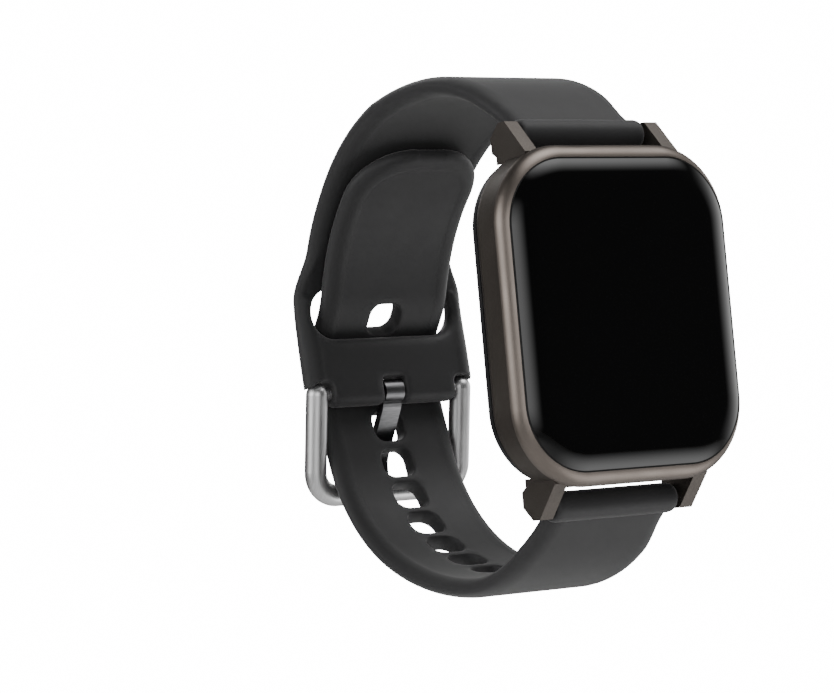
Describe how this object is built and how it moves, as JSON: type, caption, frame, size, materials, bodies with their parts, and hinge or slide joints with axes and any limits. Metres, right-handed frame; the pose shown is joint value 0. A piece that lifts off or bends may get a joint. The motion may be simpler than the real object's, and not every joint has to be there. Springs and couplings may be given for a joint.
{
  "type": "smartwatch",
  "caption": "Smartwatch with a rounded metal case, curved black glass, sprung side button and a silicone strap whose slotted end carries a round-bar pin buckle",
  "frame": {"origin": "centre of the flat sensor window on the back of the case", "axes": "+X to the 3 o'clock side, +Y from the glass towards the wrist, +Z to 12 o'clock"},
  "size_m": [0.0359, 0.0594, 0.0667],
  "materials": {
    "black_glass": "gloss",
    "black_rubber": "matte",
    "bezel_metal": "satin, anodised taupe",
    "case_metal": "satin, anodised dark",
    "silicone": "matte, soft sheen",
    "steel": "satin",
    "dark_plastic": "matte",
    "board": "solder mask",
    "chip": "matte",
    "cell": "laminate foil",
    "polyimide": "gloss",
    "gold": "polished plate",
    "sensor_glass": "gloss",
    "display": "gloss",
    "white_plastic": "matte"
  },
  "bodies": {
    "case": {"cover_glass": "black_glass", "glass_seal": "black_rubber", "bezel": "bezel_metal", "mid_case": "case_metal", "display_panel": "display", "display_flex": "polyimide", "inner_frame": "dark_plastic", "main_board": "board", "board_chips": "chip", "battery": "cell", "vibration_motor": "steel", "antenna": "gold", "button_seal": "black_rubber", "button_switch": "steel", "back_seal": "black_rubber", "back_cover": "dark_plastic", "back_screws": "steel", "sensor_window": "sensor_glass", "sensor_board": "board", "charge_contacts": "gold"},
    "button": {"side_button": "bezel_metal", "button_clip": "steel", "switch_plunger": "white_plastic"},
    "upper_half": {"upper_strap": "silicone", "upper_bar": "steel", "upper_bar_spring": "steel"},
    "upper_catch": {"upper_release": "steel"},
    "lower_half": {"lower_strap": "silicone", "lower_bar": "steel", "lower_bar_spring": "steel"},
    "lower_catch": {"lower_release": "steel"},
    "frame": {"buckle_frame": "steel", "buckle_pin": "steel"},
    "tongue": {"buckle_tongue": "steel"}
  },
  "joints": [
    {"name": "button_press", "type": "slide", "parent": "case", "child": "button", "axis": [-1, 0, 0], "range_m": [0, 0.00035], "stiffness_N_per_m": 2000, "springref_m": -0.0002},
    {"name": "strap_open", "type": "hinge", "parent": "case", "child": "upper_half", "pos_m": [0, -0.0023, 0.023], "axis": [1, 0, 0], "range_deg": [0, 60], "deforming": ["lower_strap"]},
    {"name": "lower_strap_open", "type": "hinge", "parent": "case", "child": "lower_half", "pos_m": [0, -0.0023, -0.023], "axis": [-1, 0, 0], "range_deg": [0, 60]},
    {"name": "frame_swing", "type": "hinge", "parent": "upper_half", "child": "frame", "pos_m": [0, 0.0441, -0.0052], "axis": [1, 0, 0], "range_deg": [0, 30]},
    {"name": "tongue_swing", "type": "hinge", "parent": "upper_half", "child": "tongue", "pos_m": [0, 0.0441, -0.0052], "axis": [1, 0, 0], "range_deg": [0, 48]},
    {"name": "upper_release_pull", "type": "slide", "parent": "upper_half", "child": "upper_catch", "axis": [-1, 0, 0], "range_m": [0, 0.0011], "stiffness_N_per_m": 600, "springref_m": -0.0008, "deforming": ["upper_bar_spring"]},
    {"name": "lower_release_pull", "type": "slide", "parent": "lower_half", "child": "lower_catch", "axis": [-1, 0, 0], "range_m": [0, 0.0011], "stiffness_N_per_m": 600, "springref_m": -0.0008, "deforming": ["lower_bar_spring"]}
  ],
  "couplings": [
    {"joint": "lower_strap_open", "follows": "strap_open", "ratio": 1},
    {"joint": "frame_swing", "follows": "strap_open", "ratio": 0.5},
    {"joint": "tongue_swing", "follows": "strap_open", "ratio": 0.8}
  ]
}
